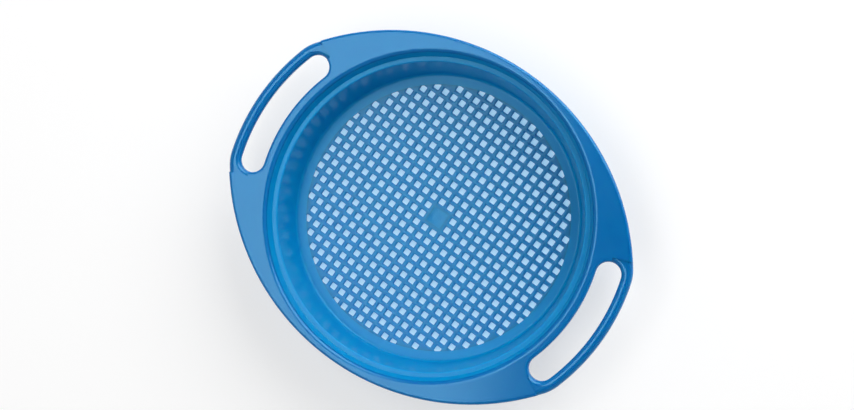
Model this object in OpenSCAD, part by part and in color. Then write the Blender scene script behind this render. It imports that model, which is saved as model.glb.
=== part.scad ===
// Sand sieve: a round moulded dish with an open mesh floor and a wide rim that carries two hand slots.
// Millimetres, +Z up. The origin lies on the dish axis at ground level, and X runs from grip to grip.
// The widths follow each other outwards from the mesh, so each one can be set by itself.

/* [Mesh] */
// Diameter of the round field that the mesh fills
mesh_d = 183; // [120:1:240]
// Distance from one mesh bar to the next
mesh_pitch = 7; // [5:0.5:10]
// Width of a square mesh hole
hole_w = 4.2; // [2.5:0.1:4.5]
// Depth of the mesh bars
mesh_t = 2; // [1:0.1:2.4]
// Cells filled by the solid pad in the middle, counted along one side
pad_cells = 2; // [2:2:6]

/* [Dish] */
// Thickness of the flat border round the mesh
floor_t = 2.6; // [2.4:0.1:4]
// Width of the flat border, from the mesh to the foot of the wall
border_w = 7.2; // [6:0.1:14]
// How far the wall leans outwards between its foot and the ledge
wall_lean = 5; // [2:0.1:12]
// Thickness of the wall, measured level
wall_t = 2.2; // [1.6:0.1:3.5]
// Inner rounding where the wall rises from the border
foot_round = 2.5; // [2:0.1:5]
// Outer rounding of the bottom edge
base_round = 3; // [1:0.1:4]

/* [Mouth] */
// Height of the rim's upper face above the ground
rim_h = 50; // [35:1:80]
// Depth of the ledge below the rim's upper face
ledge_depth = 9; // [4:0.1:14]
// Level width of the ledge
ledge_w = 3.5; // [1:0.1:6]
// Thickness of the ledge
ledge_t = 2.4; // [1.6:0.1:4]
// How far the step leans outwards between the ledge and the rim
step_lean = 2.6; // [1:0.1:6]
// Thickness of the step, measured level
step_t = 2.2; // [1.6:0.1:3.5]
// Rounding of the shoulder where the step turns into the rim
shoulder_round = 1.6; // [0.5:0.1:2]

/* [Rim] */
// Thickness of the flat rim
flange_t = 2.4; // [1.6:0.1:3.5]
// Width of the flat rim at its narrowest place, half way between the grips
side_w = 3.7; // [3.2:0.1:20]
// How much larger the radius of the long curved sides is than the radius of the grip ends
side_more = 21.5; // [16:0.5:60]
// Rounding of the four corners where the long sides meet the grip ends
corner_round = 30; // [10:1:40]
// Depth of the turned-down edge below the flat rim
skirt_drop = 5; // [2:0.1:10]
// Thickness of the turned-down edge
skirt_t = 2; // [1.2:0.1:2.4]

/* [Hand slots] */
// Width of the flat rim between the mouth and a hand slot
web_w = 4.7; // [3:0.1:12]
// Width of a hand slot
slot_w = 16.8; // [12:0.1:25]
// Angle from the middle of a slot to the centre of its round end
slot_reach = 17.6; // [10:0.1:20]
// Thickness of the turned-down lip round a slot
lip_t = 2; // [1.2:0.1:2.4]
// Depth of the turned-down lip below the flat rim
lip_drop = 4; // [2:0.1:10]
// Width of the grip bar outside a slot
grip_w = 7.5; // [6:0.1:12]
// How far a grip runs past the tip of its slot
grip_over = 3; // [2.6:0.1:6]
// Depth of a grip's upper face below the rim's upper face
grip_drop = 0.8; // [0.2:0.1:1.2]

/* [Hidden] */
$fn = 180;
// Straight pieces that stand for one round in a section
round_steps = 8;
// Overshoot of a cutting shape past the face that it cuts
over = 1;
// Least width of the outermost bars, which the border cuts to a segment
least_bar = 0.5;

// Mesh: bars on a square grid, with one bar crossing in the middle
bar_w = mesh_pitch - hole_w;
mesh_r = mesh_d / 2;
mesh_z = floor_t - mesh_t;
bar_last = floor((mesh_r + bar_w / 2 - least_bar) / mesh_pitch);
pad_half = pad_cells / 2 * mesh_pitch - bar_w / 2;

// Dish: radii from the mesh outwards, on the inner face of the wall
floor_r = mesh_r + border_w;
ledge_r = floor_r + wall_lean;
step_r = ledge_r + ledge_w;
shoulder_r = step_r + step_lean;
mouth_r = shoulder_r + step_t;
ledge_z = rim_h - ledge_depth;
flange_z = rim_h - flange_t;
wall_angle = atan2(ledge_z - floor_t, wall_lean);
step_angle = atan2(ledge_depth, step_lean);
foot_tangent = foot_round * tan(wall_angle / 2);
base_tangent = base_round * tan(wall_angle / 2);
shoulder_tangent = shoulder_round * tan(step_angle / 2);
// Level where the rounded foot ends and the straight wall begins
wall_z = floor_t + foot_tangent * sin(wall_angle);

// Rim: slots and grips follow outwards from the mouth, the outline is made of tangent arcs
slot_in_r = mouth_r + web_w;
slot_out_r = slot_in_r + slot_w;
slot_mid_r = slot_in_r + slot_w / 2;
rim_end_r = slot_out_r + grip_w;
side_r = rim_end_r + side_more;
side_off = side_r - mouth_r - side_w;
// Centre of the corner arc, where it touches the end arc and the side arc from inside
corner_end_r = rim_end_r - corner_round;
corner_side_r = side_r - corner_round;
corner_y = (corner_side_r ^ 2 - corner_end_r ^ 2 - side_off ^ 2) / (2 * side_off);
corner_x = sqrt(corner_end_r ^ 2 - corner_y ^ 2);
// Angle from the middle of a grip to its end
grip_reach = slot_reach + asin((slot_w / 2 + grip_over) / slot_mid_r);

// Radius of the wall's inner face at a level
function wall_r(z) = floor_r + (z - floor_t) / tan(wall_angle);

// Points on an arc, from one angle to another
function arc(centre, r, from, to) = [
    for (i = [0:round_steps])
        let (a = from + (to - from) * i / round_steps)
            centre + r * [cos(a), sin(a)]
];

// Half length of the chord at a distance from the middle of the mesh
function half_chord(d) = sqrt(max(mesh_r ^ 2 - d ^ 2, 0));

// Unit vector along a direction
function unit(v) = v / norm(v);

// Sector that opens along +X, reaching past the rim
module sector(reach) {
    far = 2 * rim_end_r;
    polygon([[0, 0], [far, -far * tan(reach)], [far, far * tan(reach)]]);
}

// Piece that a corner round takes off the outline's corner in the +X +Y quarter
module corner_waste(inset) {
    centre = [corner_x, corner_y];
    far = 2 * corner_round;
    to_end = far * unit(centre);
    to_side = far * unit(centre + [0, side_off]);
    difference() {
        polygon([centre, centre + to_end, centre + to_end + to_side, centre + to_side]);
        translate(centre) circle(r = corner_round - inset);
    }
}

// Outline of the rim, drawn in by an even distance
module rim_outline(inset) {
    difference() {
        intersection() {
            circle(r = rim_end_r - inset);
            translate([0, side_off]) circle(r = side_r - inset);
            translate([0, -side_off]) circle(r = side_r - inset);
        }
        for (x = [0, 1], y = [0, 1])
            mirror([x, 0]) mirror([0, y]) corner_waste(inset);
    }
}

// Curved hand slot on the +X side, widened by an even distance
module hand_slot(grow) {
    intersection() {
        difference() {
            circle(r = slot_out_r + grow);
            circle(r = slot_in_r - grow);
        }
        sector(slot_reach);
    }
    for (side = [-1, 1])
        rotate(side * slot_reach) translate([slot_mid_r, 0]) circle(r = slot_w / 2 + grow);
}

// Place of the grip bar on the +X side, outside the slot and round both its ends
module grip_place() {
    difference() {
        sector(grip_reach);
        circle(r = slot_mid_r);
        hand_slot(0);
    }
}

// Flat rim with its round mouth and the two slots, without the grip bars
module rim_flange() {
    color("dodgerblue") translate([0, 0, flange_z]) linear_extrude(flange_t)
        difference() {
            rim_outline(0);
            circle(r = mouth_r);
            for (x = [0, 1])
                mirror([x, 0]) {
                    hand_slot(0);
                    grip_place();
                }
        }
}

// Ring along the outline, as wide as the turned-down edge is thick
module skirt_ring() {
    difference() {
        rim_outline(0);
        rim_outline(skirt_t);
    }
}

// Grip bar on the +X side: a channel, open below, with legs in line with the slot lip and the skirt
module grip() {
    translate([0, 0, flange_z]) linear_extrude(flange_t - grip_drop)
        intersection() {
            rim_outline(0);
            grip_place();
        }
    translate([0, 0, flange_z - lip_drop]) linear_extrude(lip_drop)
        intersection() {
            hand_slot(lip_t);
            grip_place();
        }
    translate([0, 0, flange_z - skirt_drop]) linear_extrude(skirt_drop)
        intersection() {
            skirt_ring();
            grip_place();
        }
}

module left_grip() {
    color("royalblue") mirror([1, 0, 0]) grip();
}

module right_grip() {
    color("royalblue") grip();
}

// Turned-down lip round the slot on the +X side, up to the ends of the grip bar
module slot_lip() {
    translate([0, 0, flange_z - lip_drop]) linear_extrude(lip_drop)
        difference() {
            hand_slot(lip_t);
            hand_slot(0);
            grip_place();
        }
}

module left_slot_lip() {
    color("steelblue") mirror([1, 0, 0]) slot_lip();
}

module right_slot_lip() {
    color("steelblue") slot_lip();
}

// Turned-down edge along the +Y side of the outline, from grip to grip
module skirt() {
    translate([0, 0, flange_z - skirt_drop]) linear_extrude(skirt_drop)
        intersection() {
            difference() {
                skirt_ring();
                for (x = [0, 1])
                    mirror([x, 0]) grip_place();
            }
            translate([-2 * rim_end_r, 0]) square([4 * rim_end_r, 2 * rim_end_r]);
        }
}

module front_skirt() {
    color("steelblue") mirror([0, 1, 0]) skirt();
}

module back_skirt() {
    color("steelblue") skirt();
}

// Leaning step from the ledge up to the rounded shoulder of the mouth
module mouth_step() {
    shoulder_centre = [shoulder_r + shoulder_tangent, rim_h - shoulder_round];
    color("deepskyblue") rotate_extrude()
        polygon(concat(
            [[step_r, ledge_z], [step_r + step_t, ledge_z], [mouth_r, flange_z], [mouth_r, rim_h]],
            arc(shoulder_centre, shoulder_round, 90, 90 + step_angle)
        ));
}

// Narrow level ring that joins the wall to the step
module mouth_ledge() {
    low_z = ledge_z - ledge_t;
    outer_r = step_r + step_t;
    color("lightskyblue") rotate_extrude()
        polygon([[wall_r(low_z), low_z], [outer_r, low_z], [outer_r, ledge_z], [ledge_r, ledge_z]]);
}

// Leaning wall of the dish
module bowl_wall() {
    top_z = ledge_z - ledge_t;
    color("dodgerblue") rotate_extrude()
        polygon([
            [wall_r(wall_z), wall_z], [wall_r(wall_z) + wall_t, wall_z],
            [wall_r(top_z) + wall_t, top_z], [wall_r(top_z), top_z]
        ]);
}

// Flat border of the floor with the rounded foot of the wall; the sieve stands on its lower face
module floor_ring() {
    foot_centre = [floor_r - foot_tangent, floor_t + foot_round];
    base_centre = [wall_r(0) + wall_t - base_tangent, base_round];
    color("cornflowerblue") rotate_extrude()
        polygon(concat(
            [[mesh_r, floor_t], [mesh_r, 0]],
            arc(base_centre, base_round, -90, wall_angle - 90),
            [[wall_r(wall_z) + wall_t, wall_z]],
            arc(foot_centre, foot_round, wall_angle - 90, -90)
        ));
}

// One mesh bar along X, held by the border at both ends and stopped by the pad in the middle
module mesh_bar(index) {
    reach = half_chord(max(abs(index * mesh_pitch) - bar_w / 2, 0)) + over;
    linear_extrude(mesh_t)
        difference() {
            intersection() {
                circle(r = mesh_r);
                translate([-reach, index * mesh_pitch - bar_w / 2]) square([2 * reach, bar_w]);
            }
            square(2 * pad_half, center = true);
        }
}

// Bars along X, each with a half lap where a bar across it lies, cut from one level to another
module lapped_bars(low, high) {
    for (index = [-bar_last:bar_last]) {
        reach = half_chord(max(abs(index * mesh_pitch) - bar_w / 2, 0));
        difference() {
            mesh_bar(index);
            for (crossing = [-bar_last:bar_last])
                if (abs(crossing * mesh_pitch) - bar_w / 2 < reach)
                    translate([crossing * mesh_pitch - bar_w / 2, index * mesh_pitch - bar_w, low])
                        cube([bar_w, 2 * bar_w, high - low]);
        }
    }
}

module long_mesh_bars() {
    color("skyblue") translate([0, 0, mesh_z]) lapped_bars(mesh_t / 2, mesh_t + over);
}

module cross_mesh_bars() {
    color("lightblue") translate([0, 0, mesh_z]) rotate([0, 0, 90]) lapped_bars(-over, mesh_t / 2);
}

// Solid pad that fills the middle cells, where the plastic entered the mould
module centre_pad() {
    color("deepskyblue") translate([0, 0, mesh_z]) linear_extrude(mesh_t)
        square(2 * pad_half, center = true);
}

rim_flange();
left_grip();
right_grip();
left_slot_lip();
right_slot_lip();
front_skirt();
back_skirt();
mouth_step();
mouth_ledge();
bowl_wall();
floor_ring();
long_mesh_bars();
cross_mesh_bars();
centre_pad();
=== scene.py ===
# %% [markdown]
# # A blue sand sieve
#
# The sieve is one injection moulding in blue polypropylene: a round dish with leaning walls, an open
# mesh for a floor, a stepped mouth, and a wide flat rim that carries a hand slot at each end. The
# construction fixes every size. This lesson gives the same pieces the rounds, the rolled edges and the
# finish that a moulded part has, and sets up the light and the camera.

# %% Load the construction
import math

import bmesh
import bpy
from mathutils import Matrix, Vector


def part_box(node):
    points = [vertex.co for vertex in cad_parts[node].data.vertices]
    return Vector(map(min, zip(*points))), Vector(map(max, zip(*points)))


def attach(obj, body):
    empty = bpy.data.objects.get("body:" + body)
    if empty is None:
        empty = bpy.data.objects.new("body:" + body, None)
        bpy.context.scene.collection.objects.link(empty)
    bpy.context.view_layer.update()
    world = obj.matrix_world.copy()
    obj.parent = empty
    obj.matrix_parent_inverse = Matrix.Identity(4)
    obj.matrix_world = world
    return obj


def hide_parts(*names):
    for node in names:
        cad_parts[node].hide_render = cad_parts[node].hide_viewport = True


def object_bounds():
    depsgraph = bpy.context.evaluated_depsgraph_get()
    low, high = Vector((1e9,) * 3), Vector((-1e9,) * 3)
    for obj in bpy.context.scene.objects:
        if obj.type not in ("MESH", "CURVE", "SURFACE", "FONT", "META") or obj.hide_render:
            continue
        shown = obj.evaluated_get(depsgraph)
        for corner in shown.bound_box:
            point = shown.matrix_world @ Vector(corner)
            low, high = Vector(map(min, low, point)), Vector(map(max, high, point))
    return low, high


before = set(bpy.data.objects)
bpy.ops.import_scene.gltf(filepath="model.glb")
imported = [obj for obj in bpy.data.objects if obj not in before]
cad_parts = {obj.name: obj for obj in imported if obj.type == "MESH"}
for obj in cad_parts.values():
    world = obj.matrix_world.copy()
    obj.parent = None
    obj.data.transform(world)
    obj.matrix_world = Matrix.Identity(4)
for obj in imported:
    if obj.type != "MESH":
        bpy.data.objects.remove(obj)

mm = 0.001
cad_low, cad_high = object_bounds()
print("construction box in mm:", [round(side / mm, 1) for side in cad_high - cad_low])

# %% [markdown]
# ## The camera
#
# The picture looks down into the dish from high up, a little from one side, and the long axis of the
# sieve runs from the upper left to the lower right. A camera can be turned by angles, but angles are
# hard to check. Here it stands at a point, looks at a point, and is rolled until a chosen heading on
# the ground points up in the picture, so each value can be read off the object.

# %% Camera
sensor_width = 36.0
lens = 84.4
eye = Vector((0.1652, 0.0880, 1.3623))
aim = Vector((-0.0112, 0.0027, 0.0))
up_heading = math.radians(125.5)


def look_from(eye, aim, heading):
    """Matrix of a camera at a point that looks at a point, with a ground heading upwards in the picture."""
    forward = (aim - eye).normalized()
    right = forward.cross(Vector((math.cos(heading), math.sin(heading), 0))).normalized()
    turn = Matrix((right, right.cross(forward), -forward)).transposed()
    return Matrix.Translation(eye) @ turn.to_4x4()


camera = bpy.data.objects.new("camera", bpy.data.cameras.new("camera"))
bpy.context.collection.objects.link(camera)
camera.data.sensor_width = sensor_width
camera.data.lens = lens
camera.matrix_world = look_from(eye, aim, up_heading)
bpy.context.scene.camera = camera
bpy.context.scene.view_settings.view_transform = "Standard"
print("camera stands", round((aim - eye).length, 3), "m from the sieve")

# %% [markdown]
# ## The sizes
#
# Every piece has to sit where the construction has it, so the radii and heights are read from the boxes
# of its nodes. A box doesn't tell an inner radius: the walls are moulded in one thickness, and that one
# value gives the inner faces from the outer ones.

# %% Radii and heights
wall = 2.2 * mm
mesh_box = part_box("long_mesh_bars")
ring_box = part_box("floor_ring")
wall_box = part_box("bowl_wall")
ledge_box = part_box("mouth_ledge")
step_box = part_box("mouth_step")
mesh_radius = mesh_box[1].x
floor_top = mesh_box[1].z
ledge_top = ledge_box[1].z
rim_top = step_box[1].z
mouth_radius = step_box[1].x
wall_slope = (wall_box[1].x - ring_box[1].x) / (wall_box[1].z - ring_box[1].z)


def wall_outside(height):
    """Radius of the leaning wall's outer face at a height."""
    return wall_box[1].x + (height - wall_box[1].z) * wall_slope


print("mesh radius", round(mesh_radius / mm, 2), "mm, mouth radius", round(mouth_radius / mm, 2), "mm")

# %% [markdown]
# ## Making a piece from a bmesh
#
# A moulding has soft faces and a few true creases. Marking edges by hand would be slow, so every piece
# is shaded smooth, and the edges that turn by more than a set angle are marked sharp.

# %% Helpers for pieces
crease = math.radians(40)
merge_gap = 0.001 * mm


def new_piece(name, bm):
    """Closes the mesh, turns its faces outwards and makes it an object at the origin."""
    bmesh.ops.remove_doubles(bm, verts=bm.verts, dist=merge_gap)
    bmesh.ops.recalc_face_normals(bm, faces=bm.faces)
    mesh = bpy.data.meshes.new(name)
    bm.to_mesh(mesh)
    bm.free()
    piece = bpy.data.objects.new(name, mesh)
    bpy.context.collection.objects.link(piece)
    return piece


def shade(piece):
    """Shades a piece smooth, with sharp edges at its creases."""
    bm = bmesh.new()
    bm.from_mesh(piece.data)
    for face in bm.faces:
        face.smooth = True
    for edge in bm.edges:
        edge.smooth = edge.calc_face_angle(0) < crease
    bm.to_mesh(piece.data)
    bm.free()


def cut(piece, tool, operation):
    """Cuts a piece with a closed tool, keeps the result as its mesh and removes the tool."""
    carve = piece.modifiers.new("carve", "BOOLEAN")
    carve.object = tool
    carve.operation = operation
    carve.solver = "MANIFOLD"
    carved = piece.evaluated_get(bpy.context.evaluated_depsgraph_get())
    piece.data = bpy.data.meshes.new_from_object(carved)
    piece.modifiers.remove(carve)
    bpy.data.objects.remove(tool)


def finish_piece(piece, material, slot, *nodes):
    """Gives a piece its material and says which nodes of the construction it stands for."""
    shade(piece)
    piece.data.materials.clear()
    piece.data.materials.append(material)
    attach(piece, "root")
    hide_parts(*nodes)
    triangles = sum(len(face.vertices) - 2 for face in piece.data.polygons)
    print(piece.name, "has", triangles, "triangles and stands for", ", ".join(nodes))


print("edges that turn by more than", round(math.degrees(crease)), "degrees are creases")

# %% [markdown]
# ## The plastic
#
# Moulded polypropylene is coloured all through, has a soft gloss, and lets a little light through: blue
# travels further in it than green, and red hardly at all. A Principled shader does all of this, with
# Subsurface for the light inside. What keeps it from looking like a flat paint are three slow noises:
# one drifts the colour where the melt flowed, one varies the gloss, and one bends the normals into the
# faint ripple of a moulded face. All read Object coordinates, so they stay fixed to the sieve.
#
# The rim is the most polished part of the mould. The dish and the mesh are a little duller, so the dish
# wall shows only a faint, blurred image of the holes. All four finishes are one blue plastic, and their
# base colours differ only as painted light and shade: the dish is painted lighter than the rim and the
# mesh, for the light on its walls, and the pad is painted a shade lighter than the mesh, because less
# light is lost at its broad sides than at those of the narrow bars.

# %% Values of the plastic
plastic_ior = 1.49
sheen_tint = (0.37, 0.8, 1.0)
red_travel, green_travel, blue_travel = 0.02, 0.8, 1.0
flow_scale, flow_detail = 14, 3
flow_start, flow_end = 0.3, 0.7
gloss_scale, gloss_detail = 70, 4
gloss_swing = 0.05
ripple_scale, ripple_detail = 260, 2
ripple_strength = 0.06
ripple_depth = 0.1 * mm
print("one drift of the colour is about", round(1 / flow_scale / mm), "mm wide")


# %% Blue plastic
def blue_plastic(name, colour, drift, roughness, mirror, travel):
    """Blue moulded plastic that drifts between two colours and lets light travel some way inside it."""
    material = bpy.data.materials.new(name)
    material.use_nodes = True
    nodes = material.node_tree.nodes
    links = material.node_tree.links
    shader = nodes["Principled BSDF"]
    shader.inputs["IOR"].default_value = plastic_ior
    shader.inputs["Specular IOR Level"].default_value = mirror
    shader.inputs["Specular Tint"].default_value = (*sheen_tint, 1)
    shader.inputs["Subsurface Weight"].default_value = 1
    shader.inputs["Subsurface Radius"].default_value = (red_travel, green_travel, blue_travel)
    shader.inputs["Subsurface Scale"].default_value = travel
    place = nodes.new("ShaderNodeTexCoord")

    def noise(scale, detail):
        """Noise fixed to the piece, with a number of features per metre."""
        node = nodes.new("ShaderNodeTexNoise")
        node.inputs["Scale"].default_value = scale
        node.inputs["Detail"].default_value = detail
        links.new(place.outputs["Object"], node.inputs["Vector"])
        return node.outputs["Fac"]

    flow = nodes.new("ShaderNodeValToRGB")
    flow.color_ramp.elements[0].position = flow_start
    flow.color_ramp.elements[1].position = flow_end
    flow.color_ramp.elements[0].color = (*colour, 1)
    flow.color_ramp.elements[1].color = (*drift, 1)
    links.new(noise(flow_scale, flow_detail), flow.inputs["Fac"])
    links.new(flow.outputs["Color"], shader.inputs["Base Color"])

    sheen = nodes.new("ShaderNodeMapRange")
    sheen.inputs["To Min"].default_value = roughness - gloss_swing
    sheen.inputs["To Max"].default_value = roughness + gloss_swing
    links.new(noise(gloss_scale, gloss_detail), sheen.inputs["Value"])
    links.new(sheen.outputs["Result"], shader.inputs["Roughness"])

    ripple = nodes.new("ShaderNodeBump")
    ripple.inputs["Strength"].default_value = ripple_strength
    ripple.inputs["Distance"].default_value = ripple_depth
    links.new(noise(ripple_scale, ripple_detail), ripple.inputs["Height"])
    links.new(ripple.outputs["Normal"], shader.inputs["Normal"])
    print(name, "drifts from", colour, "to", drift)
    return material


# %% The four finishes
# The base colours below are painted light and shade on one plastic: dish and pad are painted lighter.
rim_plastic = blue_plastic("blue_rim", colour=(0.0003, 0.16, 0.44), drift=(0.0006, 0.172, 0.465),
                           roughness=0.15, mirror=0.8, travel=2 * mm)
dish_plastic = blue_plastic("blue_dish", colour=(0.0003, 0.265, 0.57), drift=(0.0006, 0.28, 0.595),
                            roughness=0.23, mirror=0.5, travel=2 * mm)
mesh_plastic = blue_plastic("blue_mesh", colour=(0.0003, 0.18, 0.43), drift=(0.0006, 0.192, 0.455),
                            roughness=0.24, mirror=0.65, travel=5 * mm)
pad_plastic = blue_plastic("blue_pad", colour=(0.0003, 0.215, 0.5), drift=(0.0006, 0.228, 0.525),
                           roughness=0.24, mirror=0.65, travel=2 * mm)

# %% [markdown]
# ## The dish
#
# The wall, the flat border of the floor, the ledge and the step of the mouth are all round, so they are
# one section turned about the axis. The section is drawn with sharp corners, which is easy to check
# against the construction, and then each corner is rounded by a vertex bevel. For a round of a given
# radius, the bevel has to start at the point where the arc touches the side: the radius times the
# tangent of half the turn. A smooth shader would bend the long flat sides towards the rounds, so each
# flat gets a point close to both of its ends, which holds it flat.
#
# The step ends under the rim, and the piece of the rim carries the round shoulder of the mouth. Light
# that travels inside the plastic is lost at a seam, so a seam on the shoulder would show as a dark line.

# %% Draw a section and turn it
round_turn = (0, 0, 1)
circle_steps = 192
corner_steps = 6
hold = 0.15 * mm
long_side = 1 * mm


def draw_section(bm, corners):
    """Draws a closed section from (radius, height, rounding) corners and rounds them."""
    verts = [bm.verts.new((radius, 0, height)) for radius, height, rounding in corners]
    for one, two in zip(verts, verts[1:] + verts[:1]):
        bm.edges.new((one, two))
    for vert, (radius, height, rounding) in zip(verts, corners):
        if rounding:
            sides = [edge.other_vert(vert).co - vert.co for edge in vert.link_edges]
            turn = math.pi - sides[0].angle(sides[1])
            bmesh.ops.bevel(bm, geom=[vert], offset=rounding * math.tan(turn / 2), offset_type="OFFSET",
                            affect="VERTICES", segments=corner_steps, profile=0.5, material=-1)


def hold_flats(bm):
    """Adds a point near both ends of each long side, so that the shading of a round stays on the round."""
    for side in [edge for edge in bm.edges if edge.calc_length() > long_side]:
        start, end = side.verts
        length = side.calc_length()
        bmesh.utils.edge_split(side, start, hold / length)
        rest = next(edge for edge in end.link_edges if edge.calc_length() > long_side - 2 * hold)
        bmesh.utils.edge_split(rest, end, hold / rest.calc_length())


def turn_section(bm):
    """Turns all that is drawn once round the axis."""
    bmesh.ops.spin(bm, geom=bm.verts[:] + bm.edges[:], cent=(0, 0, 0), axis=round_turn,
                   angle=math.tau, steps=circle_steps, use_merge=True)


print("a full turn has", circle_steps, "steps, a rounded corner has", corner_steps)

# %% Dish
rim_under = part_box("rim_flange")[0].z
step_slope = (mouth_radius - ledge_box[1].x) / (rim_top - ledge_top)


def step_inside(height):
    """Radius of the leaning step's inner face at a height."""
    return ledge_box[1].x - wall + (height - ledge_top) * step_slope


wall_foot_round = 2 * mm
ledge_edge_round = 1 * mm
ledge_crease_round = 0.4 * mm
step_root_round = 1 * mm
ledge_under_round = 0.8 * mm
wall_top_round = 1 * mm
base_round = 3 * mm
border_edge_round = 0.3 * mm
dish_section = [
    (mesh_radius, floor_top, 0),
    (wall_outside(floor_top) - wall, floor_top, wall_foot_round),
    (wall_outside(ledge_top) - wall, ledge_top, ledge_edge_round),
    (ledge_box[1].x - wall, ledge_top, ledge_crease_round),
    (step_inside(rim_under), rim_under, 0),
    (mouth_radius, rim_under, 0),
    (ledge_box[1].x, ledge_top, step_root_round),
    (ledge_box[1].x, ledge_box[0].z, ledge_under_round),
    (wall_box[1].x, ledge_box[0].z, wall_top_round),
    (wall_outside(0), 0, base_round),
    (mesh_radius, 0, border_edge_round),
]
bm = bmesh.new()
draw_section(bm, dish_section)
hold_flats(bm)
turn_section(bm)
dish = new_piece("moulded_dish", bm)
finish_piece(dish, dish_plastic, "blue_dish", "mouth_step", "mouth_ledge", "bowl_wall", "floor_ring")

# %% [markdown]
# ## The rim
#
# The rim is flat, with an outline of tangent arcs: an arc about the dish axis at each grip, a tighter
# one round each of the four corners, and a long flat one along each side. Its outer edge and the edges
# of the two hand slots roll over and turn down, which makes the thin rim stiff and kind to the hands.
# The edge of the mouth rolls over a wider round, the shoulder, and meets the step of the dish.
#
# A bevelled curve can't turn down into a wall with its own thickness. Here the section of each edge is
# drawn once, and turned about the centre of each arc in turn, so that every arc carries on where the
# last one ended. Mirroring closes the loop, and the flat faces between the edges are filled last.

# %% Arcs of the outline and of the slots
rim_end = cad_high.x
rim_side = cad_high.y
side_radius = 162.5 * mm
corner_radius = 30 * mm
side_shift = side_radius - rim_side
corner_reach = rim_end - corner_radius
corner_y = ((side_radius - corner_radius) ** 2 - corner_reach ** 2 - side_shift ** 2) / (2 * side_shift)
corner_x = math.sqrt(corner_reach ** 2 - corner_y ** 2)
end_angle = math.atan2(corner_y, corner_x)
side_start = math.atan2(corner_y + side_shift, corner_x)
short_arc, long_arc, slot_turn = 12, 24, 16
outline_arcs = [
    ((0, 0, 0), end_angle, short_arc),
    ((corner_x, corner_y, 0), side_start - end_angle, short_arc),
    ((0, -side_shift, 0), math.pi / 2 - side_start, long_arc),
]

slot_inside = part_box("right_slot_lip")[1].x
slot_width = 16.8 * mm
slot_middle = slot_inside + slot_width / 2
slot_reach = math.radians(17.6)
slot_end = (slot_middle * math.cos(slot_reach), slot_middle * math.sin(slot_reach), 0)
slot_arcs = [
    ((0, 0, 0), slot_reach, short_arc),
    (slot_end, -math.pi, slot_turn),
    ((0, 0, 0), -slot_reach, short_arc),
]
print("corner arcs turn about", round(corner_x / mm, 2), round(corner_y / mm, 2), "mm")

# %% Sections of the edges
edge_steps = 5
flat_start = 0.4 * mm
edge_foot = 0.5 * mm
edge_wall = 2 * mm
shoulder_round = 3 * mm


def rolled_edge(top, low, edge_round):
    """Distances and heights from the flat top round the rolled edge, under it and up to the underside."""
    section = [(edge_round + flat_start, top)]
    for step in range(edge_steps + 1):
        angle = math.pi / 2 * step / edge_steps
        section.append((edge_round * (1 - math.sin(angle)), top - edge_round * (1 - math.cos(angle))))
    return section + [(0, low + edge_foot), (edge_foot, low), (edge_wall - edge_foot, low),
                      (edge_wall, low + edge_foot), (edge_wall, rim_under)]


def mouth_edge(top):
    """Radii and heights from the flat top over the shoulder of the mouth and down to the underside."""
    turn = math.pi / 2 - math.atan(step_slope)
    start = mouth_radius - wall + shoulder_round * math.tan(turn / 2)
    section = [(start + flat_start, top)]
    for step in range(edge_steps + 1):
        angle = turn * step / edge_steps
        fall = shoulder_round * (1 - math.cos(angle))
        section.append((start - shoulder_round * math.sin(angle), top - fall))
    return section + [(step_inside(rim_under), rim_under)]


print("the shoulder is", len(mouth_edge(rim_top)), "points, down to the underside of the rim")


# %% Sweep a section along arcs
def mirror_new(bm, before, axis):
    """Mirrors all that was made since the vertices before, and joins the two halves."""
    verts = [vert for vert in bm.verts if vert not in before]
    edges = {edge for vert in verts for edge in vert.link_edges}
    faces = {face for vert in verts for face in vert.link_faces}
    bmesh.ops.mirror(bm, geom=verts + list(edges) + list(faces), axis=axis, merge_dist=merge_gap)


def sweep(bm, section, arcs, mirrors):
    """Turns a section of (radius, height) points along arcs and mirrors the strip about the axes."""
    before = set(bm.verts)
    verts = [bm.verts.new((radius, 0, height)) for radius, height in section]
    ends = verts + [bm.edges.new(pair) for pair in zip(verts, verts[1:])]
    for centre, angle, steps in arcs:
        turned = bmesh.ops.spin(bm, geom=ends, cent=centre, axis=round_turn, angle=angle, steps=steps)
        ends = turned["geom_last"]
    for axis in mirrors:
        mirror_new(bm, before, axis)


print("a quarter of the outline has", len(outline_arcs), "arcs, half a slot has", len(slot_arcs))

# %% Whole rim
rim_edge_round = 1.8 * mm
skirt_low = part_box("front_skirt")[0].z
lip_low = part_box("right_slot_lip")[0].z


def whole_rim(name, top, edge_round):
    """Whole rim with its mouth and both slots, with its upper face at a height."""
    bm = bmesh.new()
    outer = [(rim_end - inset, height) for inset, height in rolled_edge(top, skirt_low, edge_round)]
    sweep(bm, outer, outline_arcs, "XY")
    before = set(bm.verts)
    lip = [(slot_inside - grow, height) for grow, height in rolled_edge(top, lip_low, edge_round)]
    sweep(bm, lip, slot_arcs, "Y")
    mirror_new(bm, before, "X")
    sweep(bm, mouth_edge(top), [((0, 0, 0), math.tau / 4, circle_steps // 4)], "XY")
    for level in (top, rim_under):
        border = [edge for edge in bm.edges if edge.is_boundary
                  and all(abs(vert.co.z - level) < merge_gap for vert in edge.verts)]
        bmesh.ops.triangle_fill(bm, use_beauty=True, use_dissolve=False, edges=border, normal=(0, 0, 1))
    return new_piece(name, bm)


rim = whole_rim("moulded_rim", rim_top, rim_edge_round)
print("whole rim has", len(rim.data.polygons), "faces")

# %% [markdown]
# ## The grips
#
# Outside each slot the rim narrows to a bar that the fingers close round. Its edges are rounder than
# the rest of the rim, and its top lies a little lower, so a small step shows where it begins. The bar
# follows the same outline and the same slot, so it is a second whole rim with rounder edges, of which
# only the part in the place of the grip is kept. The first rim loses just that part.

# %% Grips
grip_over = 3 * mm
grip_reach = slot_reach + math.asin((slot_width / 2 + grip_over) / slot_middle)
grip_drop = 0.8 * mm
grip_round = 3.3 * mm
tool_steps = 48
tool_margin = 10 * mm


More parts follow.
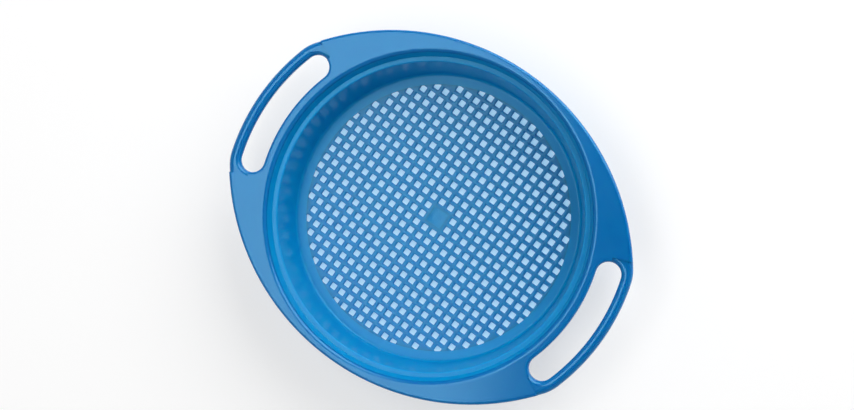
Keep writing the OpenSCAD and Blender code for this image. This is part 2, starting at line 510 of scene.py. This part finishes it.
def grip_place(side):
    """Closed tool that fills the place of a grip, from the middle of the slot to past the rim."""
    bm = bmesh.new()
    corners = [(slot_middle, skirt_low - tool_margin), (rim_end + tool_margin, skirt_low - tool_margin),
               (rim_end + tool_margin, rim_top + tool_margin), (slot_middle, rim_top + tool_margin)]
    draw_section(bm, [(side * radius, height, 0) for radius, height in corners])
    bmesh.ops.rotate(bm, verts=bm.verts, cent=(0, 0, 0), matrix=Matrix.Rotation(-grip_reach, 3, "Z"))
    bmesh.ops.spin(bm, geom=bm.verts[:] + bm.edges[:], cent=(0, 0, 0), axis=round_turn,
                   angle=2 * grip_reach, steps=tool_steps)
    bmesh.ops.holes_fill(bm, edges=bm.edges, sides=4)
    return new_piece("grip_place", bm)


for side, node in ((-1, "left_grip"), (1, "right_grip")):
    grip = whole_rim(node + "_bar", rim_top - grip_drop, grip_round)
    cut(grip, grip_place(side), "INTERSECT")
    cut(rim, grip_place(side), "DIFFERENCE")
    finish_piece(grip, rim_plastic, "blue_rim", node)
finish_piece(rim, rim_plastic, "blue_rim", "rim_flange", "front_skirt", "back_skirt",
             "left_slot_lip", "right_slot_lip")

# %% [markdown]
# ## The mesh
#
# The floor is a net of bars with square holes and a solid pad in the middle, where the melt entered the
# mould. Boxes for the bars would leave seams at every crossing. A grid whose cells are inset, emptied
# and thickened is one clean skin, and a small bevel rounds the upper edges of every hole. The opening
# for the pad keeps its sharp edges, so that the pad fits it flush. Cells that lie mostly outside the
# border stay filled, because a mould leaves no slivers. A disc then trims the net to the round border
# of the dish.

# %% Net of bars
mesh_pitch = 7 * mm
hole_width = 4.2 * mm
grid_cells = 28
least_opening = 0.5 * mm
hole_corner = 0.5 * mm
hole_edge = 0.45 * mm
hole_steps = 2
steep = 0.5
mesh_under = mesh_box[0].z


def hole_edges(bm, upright):
    """Upright edges in the corners of the holes, or edges round their mouths, not those at the pad."""
    found = []
    for edge in bm.edges:
        if all(max(abs(vert.co.x), abs(vert.co.y)) < mesh_pitch for vert in edge.verts):
            continue
        level = abs(edge.verts[0].co.z - edge.verts[1].co.z) < merge_gap
        walls = [face for face in edge.link_faces if abs(face.normal.z) < steep]
        if upright and not level and len(walls) == 2:
            found.append(edge)
        if not upright and level and len(walls) == 1 and edge.verts[0].co.z > floor_top - merge_gap:
            found.append(edge)
    return found


bm = bmesh.new()
bmesh.ops.create_grid(bm, x_segments=grid_cells, y_segments=grid_cells, size=grid_cells * mesh_pitch / 2,
                      matrix=Matrix.Translation((0, 0, floor_top)))
middle = min(bm.verts, key=lambda vert: vert.co.to_2d().length)
bmesh.ops.dissolve_verts(bm, verts=[middle])
reach = mesh_radius - least_opening
cells = [face for face in bm.faces if face.calc_center_median().to_2d().length < reach]
bmesh.ops.inset_individual(bm, faces=cells, thickness=(mesh_pitch - hole_width) / 2, use_even_offset=True)
bmesh.ops.delete(bm, geom=cells, context="FACES")
bmesh.ops.recalc_face_normals(bm, faces=bm.faces)
bmesh.ops.solidify(bm, geom=bm.faces[:], thickness=floor_top - mesh_under)
print("net has", len(cells), "openings, the pad's among them")
for upright, size in ((True, hole_corner), (False, hole_edge)):
    bm.normal_update()
    bmesh.ops.bevel(bm, geom=hole_edges(bm, upright), offset=size, offset_type="OFFSET", affect="EDGES",
                    segments=hole_steps, profile=0.5, material=-1)
mesh = new_piece("mesh_floor", bm)

# %% Trim the net to the border
bm = bmesh.new()
bmesh.ops.create_cone(bm, cap_ends=True, segments=circle_steps, radius1=mesh_radius, radius2=mesh_radius,
                      depth=tool_margin, matrix=Matrix.Translation((0, 0, floor_top)))
cut(mesh, new_piece("border", bm), "INTERSECT")
finish_piece(mesh, mesh_plastic, "blue_mesh", "long_mesh_bars", "cross_mesh_bars")

# %% [markdown]
# ## The pad in the middle
#
# The pad fills two by two cells of the net, flush with the bars. It is a plain block on the real sieve
# too, but its top isn't quite flat: it sinks a little where the plastic was thickest as it cooled. An
# inset of the top face, moved down, gives that shallow dish, and its edges are softened by a bevel.

# %% Centre pad
pad_low, pad_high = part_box("centre_pad")
pad_slope = 2.5 * mm
pad_sink = 0.25 * mm
pad_soft = 1 * mm
bm = bmesh.new()
pad_size = Matrix.Diagonal(pad_high - pad_low).to_4x4()
pad_place = Matrix.Translation((pad_low + pad_high) / 2)
bmesh.ops.create_cube(bm, size=1, matrix=pad_place @ pad_size)
top = max(bm.faces, key=lambda face: face.calc_center_median().z)
bmesh.ops.inset_individual(bm, faces=[top], thickness=pad_slope, use_even_offset=True)
bmesh.ops.translate(bm, verts=top.verts, vec=(0, 0, -pad_sink))
bmesh.ops.bevel(bm, geom=top.edges, offset=pad_soft, offset_type="OFFSET", affect="EDGES",
                segments=corner_steps, profile=0.5, material=-1)
pad = new_piece("gate_pad", bm)
finish_piece(pad, pad_plastic, "blue_mesh", "centre_pad")

# %% [markdown]
# ## The floor
#
# The sieve stands on matt white paper, which takes its shadow. A lamp strong enough to make the paper
# white in the picture would bleach the sieve. So the camera and the mirror-like rays see a second paper
# in its place, a little darker but with some light of its own: it shows white, keeps the shadow, and
# sends no more light to the sieve. Inside the foot of the dish that light is a pale blue, like light
# that has come through the plastic, so the holes of the mesh look light blue. The paper lies a hair
# below the sieve, so that no two faces share one plane.

# %% Two papers
floor_half = 4.0
floor_gap = 0.05 * mm
paper_parts = 8
floor_white = 0.86
seen_white = 0.5
seen_lift = 0.5
bm = bmesh.new()
bmesh.ops.create_grid(bm, x_segments=paper_parts, y_segments=paper_parts, size=floor_half,
                      matrix=Matrix.Translation((0, 0, -floor_gap)))
floor = new_piece("floor", bm)
paper = bpy.data.materials.new("white_paper")
paper.use_nodes = True
nodes = paper.node_tree.nodes
links = paper.node_tree.links
nodes.remove(nodes["Principled BSDF"])
matt = nodes.new("ShaderNodeBsdfDiffuse")
matt.inputs["Color"].default_value = (floor_white, floor_white, floor_white, 1)
seen_matt = nodes.new("ShaderNodeBsdfDiffuse")
seen_matt.inputs["Color"].default_value = (seen_white, seen_white, seen_white, 1)
lift = nodes.new("ShaderNodeEmission")
seen_paper = nodes.new("ShaderNodeAddShader")
links.new(seen_matt.outputs["BSDF"], seen_paper.inputs[0])
links.new(lift.outputs["Emission"], seen_paper.inputs[1])
print("paper reflects", floor_white, "and is seen with", seen_white, "and", seen_lift, "of its own")

# %% Blue light under the dish
# Painted pool of pale blue light on the white paper inside the foot of the dish, for light through the
# plastic.
dish_light = (0.16, 0.38, 0.59)
light_fade = 4 * mm
spot = nodes.new("ShaderNodeTexCoord")
distance = nodes.new("ShaderNodeVectorMath")
distance.operation = "LENGTH"
links.new(spot.outputs["Object"], distance.inputs[0])
own_light = nodes.new("ShaderNodeValToRGB")
own_light.color_ramp.elements[0].position = mesh_radius
own_light.color_ramp.elements[1].position = mesh_radius + light_fade
own_light.color_ramp.elements[0].color = (*dish_light, 1)
own_light.color_ramp.elements[1].color = (seen_lift, seen_lift, seen_lift, 1)
links.new(distance.outputs["Value"], own_light.inputs["Fac"])
links.new(own_light.outputs["Color"], lift.inputs["Color"])
print("paper is blue up to", round(mesh_radius / mm, 1), "mm from the axis")

# %% Light paths that see the floor
path = nodes.new("ShaderNodeLightPath")
mirrored = nodes.new("ShaderNodeMath")
mirrored.operation = "MAXIMUM"
links.new(path.outputs["Is Glossy Ray"], mirrored.inputs[0])
links.new(path.outputs["Is Transmission Ray"], mirrored.inputs[1])
seen = nodes.new("ShaderNodeMath")
seen.operation = "MAXIMUM"
links.new(path.outputs["Is Camera Ray"], seen.inputs[0])
links.new(mirrored.outputs["Value"], seen.inputs[1])
either = nodes.new("ShaderNodeMixShader")
links.new(seen.outputs["Value"], either.inputs["Fac"])
links.new(matt.outputs["BSDF"], either.inputs[1])
links.new(seen_paper.outputs["Shader"], either.inputs[2])
links.new(either.outputs["Shader"], nodes["Material Output"].inputs["Surface"])
floor.data.materials.append(paper)
print("floor is", 2 * floor_half, "m wide")

# %% [markdown]
# ## The light
#
# Two softboxes light the sieve. One hangs above it, towards the left of the picture, and its mirror
# image is the pale veil on the left half of the rim. A larger one stands at the upper right and lights
# the near wall of the dish. A lamp's power says little about how bright it looks, so each softbox is
# given a radiance, and its power follows from its area. A dim room fills the shadows, and its dark
# ceiling keeps the right half of the rim free of the veil.

# %% Softboxes
lit_point = Vector((0, 0, 0.03))
picture_right = camera.matrix_world.to_3x3().col[0].to_2d().normalized()
picture_up = camera.matrix_world.to_3x3().col[1].to_2d().normalized()


def softbox(name, right, up, height, width, depth, turn, radiance):
    """Soft lamp at a place given in picture directions, aimed at the sieve, with an even radiance."""
    lamp = bpy.data.lights.new(name, "AREA")
    lamp.shape = "RECTANGLE"
    lamp.size = width
    lamp.size_y = depth
    lamp.energy = radiance * math.pi * width * depth
    light = bpy.data.objects.new(name, lamp)
    bpy.context.collection.objects.link(light)
    stand = Vector((*(picture_right * right + picture_up * up), height))
    light.matrix_world = look_from(stand, lit_point, up_heading - turn)
    print(name, "sends", round(lamp.energy, 1), "W")


softbox("overhead_softbox", right=-0.37, up=0, height=1.35, width=0.6, depth=1.1,
        turn=math.radians(10), radiance=3.4)
softbox("key_softbox", right=0.9, up=1.2, height=1.0, width=1.7, depth=1.7, turn=0, radiance=3.8)

# %% Dim room
room_level, ceiling_level = 0.4, 0.05
ceiling_start, ceiling_full = 0.6, 0.95
world = bpy.data.worlds.new("room")
bpy.context.scene.world = world
world.use_nodes = True
room_nodes = world.node_tree.nodes
room_links = world.node_tree.links
room = room_nodes["Background"]
room.inputs["Color"].default_value = (1, 1, 1, 1)
direction = room_nodes.new("ShaderNodeTexCoord")
split = room_nodes.new("ShaderNodeSeparateXYZ")
room_links.new(direction.outputs["Generated"], split.inputs["Vector"])
level = room_nodes.new("ShaderNodeMapRange")
level.inputs["From Min"].default_value = ceiling_start
level.inputs["From Max"].default_value = ceiling_full
level.inputs["To Min"].default_value = room_level
level.inputs["To Max"].default_value = ceiling_level
room_links.new(split.outputs["Z"], level.inputs["Value"])
room_links.new(level.outputs["Result"], room.inputs["Strength"])
print("room falls from", room_level, "at the walls to", ceiling_level, "overhead")
